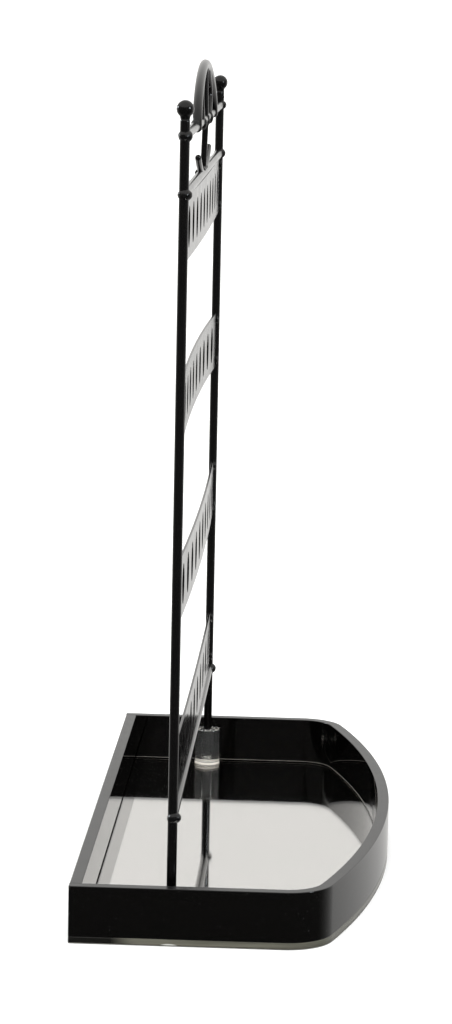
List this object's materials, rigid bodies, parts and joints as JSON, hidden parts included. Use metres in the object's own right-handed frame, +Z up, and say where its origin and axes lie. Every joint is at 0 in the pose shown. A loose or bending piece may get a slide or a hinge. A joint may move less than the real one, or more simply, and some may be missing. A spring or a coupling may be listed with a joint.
{
  "type": "jewellery stand",
  "caption": "Countertop jewellery stand: mirrored acrylic tray with clear sockets holding a lift-out black steel frame of slotted strips under a small arched crest.",
  "frame": {"origin": "middle of the footprint's bounding rectangle, on the table", "axes": "+Z up, front (the bowed side) towards -Y, the row of slots along X"},
  "size_m": [0.32, 0.13, 0.3522],
  "materials": {
    "black_steel": "semi-gloss black coated steel",
    "black_acrylic": "polished gloss black acrylic",
    "clear_acrylic": "clear polished acrylic, faintly green at the edges",
    "silvering": "mirror silvering seen through the clear plate, painted underneath"
  },
  "bodies": {
    "tray": {"mirror_backing": "silvering", "base_plate": "clear_acrylic", "wall_band": "black_acrylic", "back_wall": "black_acrylic", "socket_left": "clear_acrylic", "socket_right": "clear_acrylic"},
    "frame": {"post_left": "black_steel", "finial_left": "black_steel", "joint_bead_top_left": "black_steel", "joint_bead_upper_left": "black_steel", "joint_bead_bottom_left": "black_steel", "post_right": "black_steel", "finial_right": "black_steel", "joint_bead_top_right": "black_steel", "joint_bead_upper_right": "black_steel", "joint_bead_bottom_right": "black_steel", "top_rod": "black_steel", "upper_rod": "black_steel", "bottom_rod": "black_steel", "slotted_strip_1": "black_steel", "slotted_strip_2": "black_steel", "slotted_strip_3": "black_steel", "slotted_strip_4": "black_steel", "crest_arch": "black_steel", "crest_stem_upper": "black_steel", "crest_stem_lower": "black_steel", "crest_petal_left": "black_steel", "crest_petal_right": "black_steel", "crest_hook_left": "black_steel", "crest_hook_right": "black_steel"}
  },
  "joints": [
    {"name": "frame_lift", "type": "slide", "parent": "tray", "child": "frame", "axis": [0, 0, 1], "range_m": [0, 0.03]}
  ]
}
